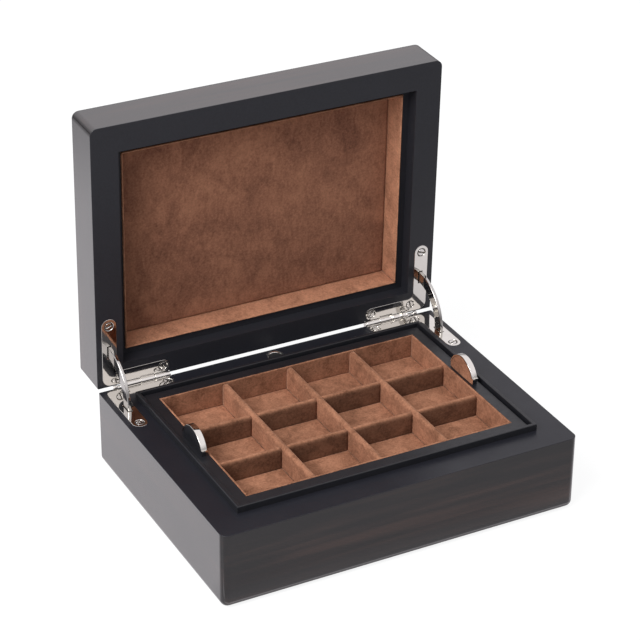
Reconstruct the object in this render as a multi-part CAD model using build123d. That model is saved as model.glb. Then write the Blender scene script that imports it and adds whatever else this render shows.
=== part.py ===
from build123d import *
import math
import os

# Ring storage box with a lift-out tray of twelve compartments, shown with its lid open.
# Origin: centre of the underside. X runs along the front, Y goes back, Z is up. Millimetres.

# Box
BOX_WIDTH = 220.0
BOX_DEPTH = 165.0
BASE_HEIGHT = 47.0
LID_HEIGHT = 27.5
LID_GAP = 0.2
FRONT_CORNER_RADIUS = 4.3
BACK_CORNER_RADIUS = 0.8
BOTTOM_EDGE_RADIUS = 4.2
LID_TOP_RADIUS = 2.5
RIM_EDGE_RADIUS = 0.25
OPEN_ANGLE = 88.5

# Base carcass
BASE_WALL = 16.9
BASE_BACK_WALL = 14.3
UNDERSIDE_PAD = 0.8
UNDERSIDE_PAD_INSET = 6.0
BOTTOM_PANEL = 6.0
LINER_THICKNESS = 2.1
LINER_PROUD = 4.0
LINER_EDGE_RADIUS = 0.5
WELL_PAD = 1.2

# Lid
LID_WALL = 16.4
LID_BACK_WALL = 13.8
REBATE_DEPTH = 8.3
REBATE_LEDGE = 4.7
LID_PANEL = 3.0
LID_LINING = 0.8
LID_LINING_PROUD = 1.4
PADDED_PANEL = 3.4
PADDED_CROWN = 0.9

# Tray
TRAY_GAP_X = 1.0
TRAY_GAP_Y = 1.2
TRAY_PROUD = 2.0
TRAY_FRAME = 7.0
TRAY_BOARD = 3.0
TRAY_PAD = 1.3
TRAY_PAD_CROWN = 0.4
COMPARTMENT_DEPTH = 13.6
TRAY_LINING = 1.2
TRAY_LINING_PROUD = 0.15
TRAY_EDGE_RADIUS = 0.6
TRAY_REST = 3.0
COLUMNS = 4
ROWS = 3
DIVIDER = 4.0
LONG_DIVIDER_DROP = 0.6
CROSS_DIVIDER_DROP = 1.6
PAD_CLEARANCE = 0.2

# Pulls of the tray
PULL_THICKNESS = 3.0
PULL_INNER = 84.6
PULL_CHORD = 25.1
PULL_STRAIGHT = 3.3
PULL_ARCH = 9.1
PULL_ROOT = 7.0
PULL_ROOT_INSET = 2.0
PULL_OFFSET = 1.75
PULL_FIT = 0.05
STRIP_THICKNESS = 0.9
STRIP_OVERHANG = 0.3
STRIP_LIP = 0.9
STRIP_LIP_THICKNESS = 0.8
STRIP_LIP_ROOT = 0.5
NAIL_RADIUS = 0.4
NAIL_LENGTH = 3.5
NAIL_PROUD = 0.1
NAIL_ANGLE = 63.0
NAIL_FIT = 0.03

# Hinges
PIN_BEHIND_BACK = 1.2
PIN_RADIUS = 1.1
PIN_FIT = 0.03
PIN_FREE_LENGTH = 7.5
PIN_KNOB = 2.4
PIN_NECK_RADIUS = 0.75
PIN_KNOB_EDGE = 0.3
PIN_HEAD = 0.5
PIN_COLLAR = 1.0
PIN_COLLAR_RADIUS = 1.8
BARREL_RADIUS = 2.2
BARREL_START = 65.2
BARREL_LENGTH = 27.6
KNUCKLES = 3
KNUCKLE_GAP = 0.15
BARREL_CLEARANCE = 0.3
WEB_LAP = 1.0
LEAF_THICKNESS = 2.3
LEAF_WIDTH = 9.4
LEAF_SIDE_CENTRE = 102.0
LEAF_SIDE_TIP = 37.7
LEAF_BACK_WIDTH = 8.0
LEAF_BACK_TIP = 64.9
LEAF_BACK_MARGIN = 0.5
LEAF_CORNER_RADIUS = 5.0
LEAF_INNER_RADIUS = 3.0
LEAF_BEVEL = 0.35
STAY_INNER_RADIUS = 21.0
STAY_OUTER_RADIUS = 28.0
STAY_THICKNESS = 2.0
STAY_OVERLAP_ANGLE = 7.25
STAY_END_RADIUS = 2.5
STAY_EDGE_BEVEL = 0.3
STAY_SLOT_CLEARANCE = 0.3
STAY_SLOT_REAR_ROOM = 0.5
MORTISE_CLEARANCE = 0.6

# Screws
SCREW_HEAD_RADIUS = 2.6
SCREW_HEAD_RIM = 0.2
SCREW_HEAD_CONE = 1.5
SCREW_SHANK_RADIUS = 1.2
SCREW_SHANK = 8.0
SCREW_SLOT_WIDTH = 0.8
SCREW_SLOT_DEPTH = 0.6
SCREW_FIT = 0.05
CORNER_SCREW_INSET = 6.2

# Ringed stud in the back rim
STUD_RADIUS = 5.2
STUD_RING = 1.3
STUD_DEPTH = 3.0
STUD_PROUD = 0.1
STUD_RECESS = 0.3

# Places worked out from the driving sizes
HALF_W = BOX_WIDTH / 2
HALF_D = BOX_DEPTH / 2
CAVITY_X = HALF_W - BASE_WALL
CAVITY_FRONT = -HALF_D + BASE_WALL
CAVITY_BACK = HALF_D - BASE_BACK_WALL
CENTRE_Y = (CAVITY_FRONT + CAVITY_BACK) / 2
FLOOR_Z = UNDERSIDE_PAD + BOTTOM_PANEL
INSIDE_X = CAVITY_X - LINER_THICKNESS
INSIDE_Y = (CAVITY_BACK - CAVITY_FRONT) / 2 - LINER_THICKNESS
PIN_Y = HALF_D + PIN_BEHIND_BACK
PIN_Z = BASE_HEIGHT + LID_GAP / 2
LID_Z = BASE_HEIGHT + LID_GAP
LID_TOP_Z = LID_Z + LID_HEIGHT
TRAY_X = INSIDE_X - TRAY_GAP_X
TRAY_Y = INSIDE_Y - TRAY_GAP_Y
TRAY_TOP = BASE_HEIGHT + TRAY_PROUD
PAD_TOP = TRAY_TOP - COMPARTMENT_DEPTH
BOARD_TOP = PAD_TOP - TRAY_PAD
TRAY_BOTTOM = BOARD_TOP - TRAY_BOARD
OPENING_X = TRAY_X - TRAY_FRAME
OPENING_Y = TRAY_Y - TRAY_FRAME
LINED_X = OPENING_X - TRAY_LINING
LINED_Y = OPENING_Y - TRAY_LINING
COLUMN_PITCH = 2 * OPENING_X / COLUMNS
ROW_PITCH = 2 * OPENING_Y / ROWS
BARREL_END = BARREL_START + BARREL_LENGTH
LEAF_BACK_FRONT = PIN_Y - BARREL_RADIUS - BARREL_CLEARANCE - LEAF_BACK_WIDTH
LEAF_BACK_EDGE = LEAF_BACK_FRONT + LEAF_BACK_WIDTH
PULL_Y = CENTRE_Y + PULL_OFFSET
ARCH_Z = TRAY_TOP + PULL_STRAIGHT
ARCH_RADIUS = (PULL_CHORD ** 2 / 4 + PULL_ARCH ** 2) / (2 * PULL_ARCH)
ARCH_CENTRE_Z = ARCH_Z + PULL_ARCH - ARCH_RADIUS
LEAF_BACK_CENTRE = LEAF_BACK_FRONT + LEAF_BACK_WIDTH / 2
# Each screw's place in the right-hand leaf and the angle that its slot came to rest at
SCREWS = (
    (LEAF_SIDE_CENTRE, LEAF_SIDE_TIP + LEAF_WIDTH / 2, 20),
    (LEAF_BACK_TIP + LEAF_BACK_WIDTH / 2, LEAF_BACK_CENTRE, 130),
    (LEAF_SIDE_CENTRE - CORNER_SCREW_INSET, LEAF_BACK_CENTRE, 75),
)

os.makedirs("parts", exist_ok=True)


def save(name, *solids):
    """Write one sub-part, a single solid or a group of separate ones."""
    shape = solids[0] if len(solids) == 1 else Compound(children=list(solids))
    shape.label = name
    export_step(shape, f"parts/{name}.step")


def block(x0, x1, y0, y1, z0, z1):
    """A box between two corners."""
    place = Pos((x0 + x1) / 2, (y0 + y1) / 2, (z0 + z1) / 2)
    return place * Box(x1 - x0, y1 - y0, z1 - z0)


def rod(x0, x1, y, z, radius):
    """A cylinder along X."""
    place = Pos((x0 + x1) / 2, y, z) * Rot(0, 90, 0)
    return place * Cylinder(radius, x1 - x0)


def prism(points, z0, z1):
    """A straight prism over a polygon in plan."""
    face = make_face(Polyline(*points, close=True))
    return Pos(0, 0, z0) * extrude(face, z1 - z0)


def mirrored(shape):
    """The same thing on the left-hand side."""
    return mirror(shape, Plane.YZ)


def solid_of(shape):
    """The one solid of a result."""
    return shape.solids()[0]


def opened(shape):
    """Swing a piece of the lid from closed to open about the hinge pins."""
    axis = Axis((0, PIN_Y, PIN_Z), (1, 0, 0))
    return shape.rotate(axis, -OPEN_ANGLE)


def mitred(shell, outer_x, outer_y0, outer_y1, inner_x, inner_y0, inner_y1):
    """Cut a four-sided shell into front, back, left and right along its corner mitres."""
    z0, z1 = -1.0, LID_TOP_Z + 1.0
    front = [(-outer_x, outer_y0), (outer_x, outer_y0), (inner_x, inner_y0), (-inner_x, inner_y0)]
    back = [(-outer_x, outer_y1), (outer_x, outer_y1), (inner_x, inner_y1), (-inner_x, inner_y1)]
    left = [(-outer_x, outer_y0), (-outer_x, outer_y1), (-inner_x, inner_y1), (-inner_x, inner_y0)]
    right = [(outer_x, outer_y0), (outer_x, outer_y1), (inner_x, inner_y1), (inner_x, inner_y0)]
    sides = {"front": front, "back": back, "left": left, "right": right}
    return {side: shell & prism(points, z0, z1) for side, points in sides.items()}


def arched_bar(width, height, crown, length):
    """A bar along Y, centred in plan, whose top is an arc that rises by the crown."""
    half = width / 2
    side = height - crown
    face = make_face([
        Line((-half, 0), (half, 0)),
        Line((half, 0), (half, side)),
        ThreePointArc((half, side), (0, height), (-half, side)),
        Line((-half, side), (-half, 0)),
    ])
    return Rot(90, 0, 0) * Pos(0, 0, -length / 2) * extrude(face, length)


def crowned_pad(width, depth, height, crown):
    """A pad that stands on Z 0, centred in plan, and is highest in its middle."""
    across = arched_bar(width, height, crown, depth)
    over = block(-width, width, -depth / 2 - 1, depth / 2 + 1, height / 2, 2 * height)
    over -= Rot(0, 0, 90) * arched_bar(depth, height, crown, 2 * width + 1)
    return solid_of(across - over)


def leaf_outline(grow=0.0):
    """Plan of the right-hand leaf: a side leg and a back leg, each with a round end."""
    half = LEAF_WIDTH / 2 + grow
    side_y = LEAF_SIDE_TIP + LEAF_WIDTH / 2
    back_half = LEAF_BACK_WIDTH / 2 + grow
    back_y = LEAF_BACK_CENTRE
    back_x = LEAF_BACK_TIP + LEAF_BACK_WIDTH / 2
    rear = HALF_D - LEAF_BACK_MARGIN + grow
    x0 = LEAF_SIDE_CENTRE - half
    x1 = LEAF_SIDE_CENTRE + half
    corner_x0 = BARREL_END + KNUCKLE_GAP - grow
    legs = make_face(Polyline(
        (x0, side_y), (x1, side_y), (x1, rear), (corner_x0, rear), (corner_x0, back_y + back_half),
        (back_x, back_y + back_half), (back_x, back_y - back_half), (x0, back_y - back_half), close=True))
    legs = fillet(legs.vertices().sort_by_distance((x1, rear, 0))[0], LEAF_CORNER_RADIUS)
    legs = fillet(legs.vertices().sort_by_distance((x0, back_y - back_half, 0))[0], LEAF_INNER_RADIUS)
    legs += Pos(LEAF_SIDE_CENTRE, side_y) * Circle(half)
    legs += Pos(back_x, back_y) * Circle(back_half)
    return legs


def screw_shape(turn, grow=0.0):
    """A countersunk slotted screw, its head's top at Z 0; grown and unslotted for its hole."""
    head = Pos(0, 0, -SCREW_HEAD_RIM / 2) * Cylinder(SCREW_HEAD_RADIUS + grow, SCREW_HEAD_RIM)
    cone = Pos(0, 0, -SCREW_HEAD_RIM - SCREW_HEAD_CONE / 2) * Cone(
        SCREW_SHANK_RADIUS + grow, SCREW_HEAD_RADIUS + grow, SCREW_HEAD_CONE)
    top = -SCREW_HEAD_RIM - SCREW_HEAD_CONE
    length = SCREW_SHANK + grow
    shank = Pos(0, 0, top - length / 2) * Cylinder(SCREW_SHANK_RADIUS + grow, length)
    screw = head + cone + shank
    if grow == 0.0:
        slot = Box(3 * SCREW_HEAD_RADIUS, SCREW_SLOT_WIDTH, 2 * SCREW_SLOT_DEPTH)
        screw -= Rot(0, 0, turn) * slot
    return screw


def screw_set(grow=0.0):
    """Three screws of the right-hand base leaf."""
    return [Pos(x, y, BASE_HEIGHT) * screw_shape(turn, grow) for x, y, turn in SCREWS]


def knuckle(index, side):
    """One knuckle and its web to the leaf; side is -1 for the base leaf, 1 for the lid leaf."""
    pitch = BARREL_LENGTH / KNUCKLES
    x0 = BARREL_START + index * pitch + KNUCKLE_GAP / 2
    x1 = x0 + pitch - KNUCKLE_GAP
    face = BASE_HEIGHT if side < 0 else LID_Z
    far = PIN_Z + side * BARREL_RADIUS
    web_x0 = max(x0, LEAF_BACK_TIP + LEAF_BACK_WIDTH / 2)
    web = block(web_x0, x1, LEAF_BACK_EDGE - WEB_LAP, PIN_Y, min(face, far), max(face, far))
    return rod(x0, x1, PIN_Y, PIN_Z, BARREL_RADIUS) + web


def pin_bore():
    """Room for the pin through the barrel."""
    return rod(BARREL_START - 1, BARREL_END + 1, PIN_Y, PIN_Z, PIN_RADIUS + PIN_FIT)


def stay_slot():
    """The slot in a right-hand leaf through which the stay passes."""
    half = STAY_THICKNESS / 2 + STAY_SLOT_CLEARANCE
    y0 = PIN_Y - STAY_OUTER_RADIUS - STAY_SLOT_CLEARANCE
    y1 = PIN_Y - STAY_INNER_RADIUS + STAY_SLOT_CLEARANCE + STAY_SLOT_REAR_ROOM
    x = LEAF_SIDE_CENTRE
    return block(x - half, x + half, y0, y1, BASE_HEIGHT - 10, BASE_HEIGHT + 10)


def leaf(side):
    """The right-hand leaf, let into the rim; side is -1 for the base, 1 for the lid."""
    z0 = BASE_HEIGHT - LEAF_THICKNESS if side < 0 else LID_Z
    plate = Pos(0, 0, z0) * extrude(leaf_outline(), LEAF_THICKNESS)
    show = BASE_HEIGHT if side < 0 else LID_Z
    rim = [edge for edge in plate.edges() if abs(edge.center().Z - show) < 0.01]
    plate = chamfer(rim, LEAF_BEVEL)
    own = [0, 2] if side < 0 else [1]
    for index in own:
        plate += knuckle(index, side)
    plate -= pin_bore()
    plate -= stay_slot()
    for hole in screw_set(SCREW_FIT):
        plate -= hole if side < 0 else to_lid(hole)
    return solid_of(plate)


def to_lid(shape):
    """Turn a piece of the base's rim over into the closed lid's rim."""
    return mirror(shape, Plane.XY.offset(PIN_Z))


def pin():
    """The right-hand pin: a head, the length in the barrel, a collar, and a necked end with a knob."""
    end = BARREL_END + PIN_FREE_LENGTH
    knob = rod(end - PIN_KNOB, end, PIN_Y, PIN_Z, PIN_RADIUS)
    knob = fillet(knob.edges().filter_by(GeomType.CIRCLE), PIN_KNOB_EDGE)
    whole = knob + rod(BARREL_START - PIN_HEAD, BARREL_END + PIN_COLLAR, PIN_Y, PIN_Z, PIN_RADIUS)
    whole += rod(BARREL_END, end - PIN_KNOB / 2, PIN_Y, PIN_Z, PIN_NECK_RADIUS)
    whole += rod(BARREL_START - PIN_HEAD, BARREL_START, PIN_Y, PIN_Z, PIN_COLLAR_RADIUS)
    whole += rod(BARREL_END + KNUCKLE_GAP, BARREL_END + PIN_COLLAR, PIN_Y, PIN_Z, PIN_COLLAR_RADIUS)
    return solid_of(whole)


def stay():
    """The right-hand quadrant stay, half way between base and lid when open."""
    half_angle = OPEN_ANGLE / 2 + STAY_OVERLAP_ANGLE
    middle = 180 - OPEN_ANGLE / 2
    start, stop = math.radians(middle - half_angle), math.radians(middle + half_angle)
    inner, outer = STAY_INNER_RADIUS, STAY_OUTER_RADIUS

    def at(radius, angle):
        return (radius * math.cos(angle), radius * math.sin(angle))

    mid = math.radians(middle)
    outline = [
        ThreePointArc(at(outer, start), at(outer, mid), at(outer, stop)),
        Line(at(outer, stop), at(inner, stop)),
        ThreePointArc(at(inner, stop), at(inner, mid), at(inner, start)),
        Line(at(inner, start), at(outer, start)),
    ]
    face = make_face(outline)
    face = fillet(face.vertices(), STAY_END_RADIUS)
    arc = solid_of(extrude(face, STAY_THICKNESS))
    flats = arc.faces().filter_by(Axis.Z)
    arc = chamfer([edge for flat in flats for edge in flat.edges()], STAY_EDGE_BEVEL)
    # The sketch's X is the box's Y and its Y is the box's Z.
    plane = Plane(origin=(LEAF_SIDE_CENTRE - STAY_THICKNESS / 2, PIN_Y, PIN_Z), x_dir=(0, 1, 0), z_dir=(1, 0, 0))
    return solid_of(plane * arc)


def stay_mortise():
    """The pocket in the right-hand base wall that the stay sinks into."""
    half = STAY_THICKNESS / 2 + MORTISE_CLEARANCE
    swing = math.radians(OPEN_ANGLE / 2 + STAY_OVERLAP_ANGLE)
    y0 = PIN_Y - STAY_OUTER_RADIUS - MORTISE_CLEARANCE
    y1 = PIN_Y - STAY_INNER_RADIUS * math.cos(swing) + MORTISE_CLEARANCE
    depth = STAY_OUTER_RADIUS * math.sin(swing) + MORTISE_CLEARANCE
    return block(LEAF_SIDE_CENTRE - half, LEAF_SIDE_CENTRE + half, y0, y1, PIN_Z - depth, BASE_HEIGHT)


def barrel_notch():
    """Room for the barrel in the right-hand end of the base's back wall."""
    z0 = PIN_Z - BARREL_RADIUS - BARREL_CLEARANCE
    x0 = BARREL_START - PIN_HEAD - BARREL_CLEARANCE
    x1 = BARREL_END + PIN_COLLAR + 2 * BARREL_CLEARANCE
    return block(x0, x1, LEAF_BACK_EDGE, HALF_D + 1, z0, BASE_HEIGHT + 1)


def hinge_cuts():
    """Everything that one right-hand hinge takes out of the base's rim."""
    recess = Pos(0, 0, BASE_HEIGHT - LEAF_THICKNESS) * extrude(leaf_outline(), LEAF_THICKNESS + 1)
    return [recess, stay_mortise(), barrel_notch(), *screw_set(SCREW_FIT)]


def front_corners(shell):
    """The upright edges of a box's front half."""
    return [edge for edge in shell.edges().filter_by(Axis.Z) if edge.center().Y < 0]


def back_corners(shell):
    """The upright edges of a box's back half, which stay nearly square behind the hinges."""
    return [edge for edge in shell.edges().filter_by(Axis.Z) if edge.center().Y > 0]


def base_carcass():
    """Four mitred walls round the base."""
    shell = block(-HALF_W, HALF_W, -HALF_D, HALF_D, UNDERSIDE_PAD, BASE_HEIGHT)
    shell = fillet(front_corners(shell), FRONT_CORNER_RADIUS)
    shell = fillet(shell.faces().sort_by(Axis.Z)[0].edges(), BOTTOM_EDGE_RADIUS)
    shell = fillet(back_corners(shell), BACK_CORNER_RADIUS)
    shell = fillet(shell.faces().sort_by(Axis.Z)[-1].edges(), RIM_EDGE_RADIUS)
    shell -= block(-CAVITY_X, CAVITY_X, CAVITY_FRONT, CAVITY_BACK, 0, BASE_HEIGHT + 1)
    for cut in hinge_cuts():
        shell -= cut
        shell -= mirrored(cut)
    stud_y = (CAVITY_BACK + HALF_D) / 2
    shell -= Pos(0, stud_y, BASE_HEIGHT - STUD_DEPTH / 2) * Cylinder(STUD_RADIUS, STUD_DEPTH)
    walls = mitred(shell, HALF_W, -HALF_D, HALF_D, CAVITY_X, CAVITY_FRONT, CAVITY_BACK)
    for side, wall in walls.items():
        save(f"base_{side}_wall", solid_of(wall))


def base_inside():
    """Bottom, underside felt, the liner that locates the lid, the well's pad and the tray's rests."""
    panel = block(-CAVITY_X, CAVITY_X, CAVITY_FRONT, CAVITY_BACK, UNDERSIDE_PAD, FLOOR_Z)
    save("base_bottom_panel", panel)
    pad_x = HALF_W - UNDERSIDE_PAD_INSET
    pad_y = HALF_D - UNDERSIDE_PAD_INSET
    pad = block(-pad_x, pad_x, -pad_y, pad_y, 0, UNDERSIDE_PAD)
    save("base_underside_felt", fillet(pad.edges().filter_by(Axis.Z), FRONT_CORNER_RADIUS))

    top = BASE_HEIGHT + LINER_PROUD
    inner_y0, inner_y1 = CENTRE_Y - INSIDE_Y, CENTRE_Y + INSIDE_Y
    shell = block(-CAVITY_X, CAVITY_X, CAVITY_FRONT, CAVITY_BACK, FLOOR_Z, top)
    shell -= block(-INSIDE_X, INSIDE_X, inner_y0, inner_y1, FLOOR_Z - 1, top + 1)
    shell = fillet(shell.faces().sort_by(Axis.Z)[-1].edges(), LINER_EDGE_RADIUS)
    liners = mitred(shell, CAVITY_X, CAVITY_FRONT, CAVITY_BACK, INSIDE_X, inner_y0, inner_y1)
    for side, board in liners.items():
        save(f"base_{side}_liner", solid_of(board))

    well_x = INSIDE_X - TRAY_REST
    well_y0, well_y1 = inner_y0 + TRAY_REST, inner_y1 - TRAY_REST
    save("tray_rest_left", block(-INSIDE_X, -well_x, inner_y0, inner_y1, FLOOR_Z, TRAY_BOTTOM))
    save("tray_rest_right", block(well_x, INSIDE_X, inner_y0, inner_y1, FLOOR_Z, TRAY_BOTTOM))
    save("tray_rest_front", block(-well_x, well_x, inner_y0, well_y0, FLOOR_Z, TRAY_BOTTOM))
    save("tray_rest_back", block(-well_x, well_x, well_y1, inner_y1, FLOOR_Z, TRAY_BOTTOM))
    gap = PAD_CLEARANCE
    pad = block(-well_x + gap, well_x - gap, well_y0 + gap, well_y1 - gap, FLOOR_Z, FLOOR_Z + WELL_PAD)
    save("well_floor_pad", pad)


def rim_stud():
    """A nickel ring with a dark core, let into the middle of the back rim."""
    y = (CAVITY_BACK + HALF_D) / 2
    bottom = BASE_HEIGHT - STUD_DEPTH
    height = STUD_DEPTH + STUD_PROUD
    ring = Pos(0, y, bottom + height / 2) * Cylinder(STUD_RADIUS, height)
    ring = fillet(ring.faces().sort_by(Axis.Z)[-1].edges(), STUD_PROUD / 2)
    inner = STUD_RADIUS - STUD_RING
    ring -= Pos(0, y, bottom + height / 2) * Cylinder(inner, height + 1)
    save("rim_stud_ring", solid_of(ring))
    core_height = STUD_DEPTH - STUD_RECESS
    save("rim_stud_core", Pos(0, y, bottom + core_height / 2) * Cylinder(inner, core_height))


def lid_carcass():
    """Four mitred walls of the lid, each with a rebate that drops over the base's liner."""
    mouth_x = HALF_W - LID_WALL
    mouth_front = -HALF_D + LID_WALL
    mouth_back = HALF_D - LID_BACK_WALL
    inner_x = mouth_x - REBATE_LEDGE
    inner_front = mouth_front + REBATE_LEDGE
    inner_back = mouth_back - REBATE_LEDGE
    ledge_z = LID_Z + REBATE_DEPTH
    shell = block(-HALF_W, HALF_W, -HALF_D, HALF_D, LID_Z, LID_TOP_Z)
    shell = fillet(front_corners(shell), FRONT_CORNER_RADIUS)
    shell = fillet(shell.faces().sort_by(Axis.Z)[-1].edges(), LID_TOP_RADIUS)
    shell = fillet(back_corners(shell), BACK_CORNER_RADIUS)
    shell = fillet(shell.faces().sort_by(Axis.Z)[0].edges(), RIM_EDGE_RADIUS)
    shell -= block(-mouth_x, mouth_x, mouth_front, mouth_back, LID_Z - 1, ledge_z)
    shell -= block(-inner_x, inner_x, inner_front, inner_back, LID_Z - 1, LID_TOP_Z + 1)
    for cut in hinge_cuts():
        shell -= to_lid(cut)
        shell -= to_lid(mirrored(cut))
    walls = mitred(shell, HALF_W, -HALF_D, HALF_D, inner_x, inner_front, inner_back)
    for side, wall in walls.items():
        save(f"lid_{side}_wall", opened(solid_of(wall)))

    panel_z = LID_TOP_Z - LID_PANEL
    save("lid_top_panel", opened(block(-inner_x, inner_x, inner_front, inner_back, panel_z, LID_TOP_Z)))

    lined_x = inner_x - LID_LINING
    lined_front = inner_front + LID_LINING
    lined_back = inner_back - LID_LINING
    lining_z = ledge_z - LID_LINING_PROUD
    lining = block(-inner_x, inner_x, inner_front, inner_back, lining_z, panel_z)
    lining -= block(-lined_x, lined_x, lined_front, lined_back, lining_z - 1, panel_z + 1)
    boards = mitred(lining, inner_x, inner_front, inner_back, lined_x, lined_front, lined_back)
    for side, board in boards.items():
        save(f"lid_{side}_lining", opened(solid_of(board)))

    pad = crowned_pad(2 * lined_x, lined_back - lined_front, PADDED_PANEL, PADDED_CROWN)
    pad = Pos(0, (lined_front + lined_back) / 2, panel_z) * Rot(180, 0, 0) * pad
    save("lid_padded_panel", opened(pad))


def hinges():
    """Leaves, pins, stays and screws of both hinges."""
    base_leaf = leaf(-1)
    save("base_hinge_leaf_right", base_leaf)
    save("base_hinge_leaf_left", mirrored(base_leaf))
    lid_leaf = leaf(1)
    save("lid_hinge_leaf_right", opened(lid_leaf))
    save("lid_hinge_leaf_left", opened(mirrored(lid_leaf)))

    right_pin = pin()
    save("hinge_pin_right", right_pin)
    save("hinge_pin_left", mirrored(right_pin))

    right_stay = stay()
    save("stay_right", right_stay)
    save("stay_left", mirrored(right_stay))

    screws = screw_set()
    screws += [mirrored(screw) for screw in screw_set()]
    save("base_leaf_screws", *[solid_of(screw) for screw in screws])
    save("lid_leaf_screws", *[opened(to_lid(solid_of(screw))) for screw in screws])


def tray_frame():
    """Four mitred boards, the board below them and the suede round the inside."""
    y0, y1 = CENTRE_Y - TRAY_Y, CENTRE_Y + TRAY_Y
    inner_y0, inner_y1 = CENTRE_Y - OPENING_Y, CENTRE_Y + OPENING_Y
    shell = block(-TRAY_X, TRAY_X, y0, y1, TRAY_BOTTOM, TRAY_TOP)
    shell = fillet(shell.edges().filter_by(Axis.Z), TRAY_EDGE_RADIUS)
    shell = fillet(shell.faces().sort_by(Axis.Z)[-1].edges(), TRAY_EDGE_RADIUS)
    shell -= block(-OPENING_X, OPENING_X, inner_y0, inner_y1, TRAY_BOTTOM - 1, TRAY_TOP + 1)
    root = pull_root(PULL_FIT)
    shell -= root
    shell -= mirrored(root)
    boards = mitred(shell, TRAY_X, y0, y1, OPENING_X, inner_y0, inner_y1)
    for side, board in boards.items():
        save(f"tray_{side}_frame", solid_of(board))
    save("tray_base_board", block(-OPENING_X, OPENING_X, inner_y0, inner_y1, TRAY_BOTTOM, BOARD_TOP))

    top = TRAY_TOP + TRAY_LINING_PROUD
    lined_y0, lined_y1 = CENTRE_Y - LINED_Y, CENTRE_Y + LINED_Y
    save(
        "tray_wall_linings",
        block(-OPENING_X, OPENING_X, inner_y0, lined_y0, BOARD_TOP, top),
        block(-OPENING_X, OPENING_X, lined_y1, inner_y1, BOARD_TOP, top),
        block(-OPENING_X, -LINED_X, lined_y0, lined_y1, BOARD_TOP, top),
        block(LINED_X, OPENING_X, lined_y0, lined_y1, BOARD_TOP, top),
    )


def round_top_wall(length, top):
    """A divider along Y, centred in plan, with a half-round top."""
    half = DIVIDER / 2
    wall = block(-half, half, -length / 2, length / 2, BOARD_TOP, top - half)
    cap = Pos(0, 0, top - half) * Rot(90, 0, 0) * Cylinder(half, length)
    return solid_of(wall + cap)


def column_edges(column):
    """Left and right face of a column of compartments."""
    left = -LINED_X if column == 0 else -OPENING_X + column * COLUMN_PITCH + DIVIDER / 2
    last = column == COLUMNS - 1
    right = LINED_X if last else -OPENING_X + (column + 1) * COLUMN_PITCH - DIVIDER / 2
    return left, right


def row_edges(row):
    """Front and back face of a row of compartments."""
    front = CENTRE_Y - (LINED_Y if row == 0 else OPENING_Y - row * ROW_PITCH - DIVIDER / 2)
    last = row == ROWS - 1
    back = CENTRE_Y + (LINED_Y if last else -OPENING_Y + (row + 1) * ROW_PITCH - DIVIDER / 2)
    return front, back


def tray_dividers():
    """Three dividers from front to back, and shorter ones across between them."""
    for number in range(1, COLUMNS):
        x = -OPENING_X + number * COLUMN_PITCH
        wall = round_top_wall(2 * LINED_Y, TRAY_TOP - LONG_DIVIDER_DROP)
        save(f"long_divider_{number}", Pos(x, CENTRE_Y, 0) * wall)
    for row in range(1, ROWS):
        y = CENTRE_Y - OPENING_Y + row * ROW_PITCH
        place = "front" if row == 1 else "back"
        for column in range(COLUMNS):
            left, right = column_edges(column)
            wall = round_top_wall(right - left, TRAY_TOP - CROSS_DIVIDER_DROP)
            wall = Pos((left + right) / 2, y, 0) * Rot(0, 0, 90) * wall
            save(f"cross_divider_{place}_{column + 1}", wall)


def tray_pads():
    """A suede pad on the floor of each compartment."""
    pads = []
    for row in range(ROWS):
        front, back = row_edges(row)
        for column in range(COLUMNS):
            left, right = column_edges(column)
            gap = PAD_CLEARANCE
            pad = crowned_pad(right - left - 2 * gap, back - front - 2 * gap, TRAY_PAD, TRAY_PAD_CROWN)
            pads.append(Pos((left + right) / 2, (front + back) / 2, BOARD_TOP) * pad)
    save("tray_floor_pads", *pads)


def half_moon(inset, x0, x1):
    """The arched part of a pull, its outline drawn in by the inset."""
    place = Pos((x0 + x1) / 2, PULL_Y, ARCH_CENTRE_Z) * Rot(0, 90, 0)
    disc = place * Cylinder(ARCH_RADIUS - inset, x1 - x0)
    above = block(x0 - 1, x1 + 1, -HALF_D, HALF_D, ARCH_Z, ARCH_Z + 2 * ARCH_RADIUS)
    return disc & above


def pull_root(grow=0.0):
    """The part of the right-hand pull that is let into the frame."""
    half = PULL_CHORD / 2 - PULL_ROOT_INSET + grow
    x0, x1 = PULL_INNER - grow, PULL_INNER + PULL_THICKNESS + grow
    return block(x0, x1, PULL_Y - half, PULL_Y + half, TRAY_TOP - PULL_ROOT - grow, TRAY_TOP)


def strip_nails(grow=0.0):
    """Two nails that hold the right-hand strip, one near each of its ends."""
    top = ARCH_RADIUS + NAIL_PROUD
    place = Pos(PULL_INNER + PULL_THICKNESS / 2, PULL_Y, ARCH_CENTRE_Z)
    nail = Pos(0, 0, top - NAIL_LENGTH / 2) * Cylinder(NAIL_RADIUS + grow, NAIL_LENGTH + 2 * grow)
    return [place * Rot(turn, 0, 0) * nail for turn in (NAIL_ANGLE, -NAIL_ANGLE)]


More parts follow.
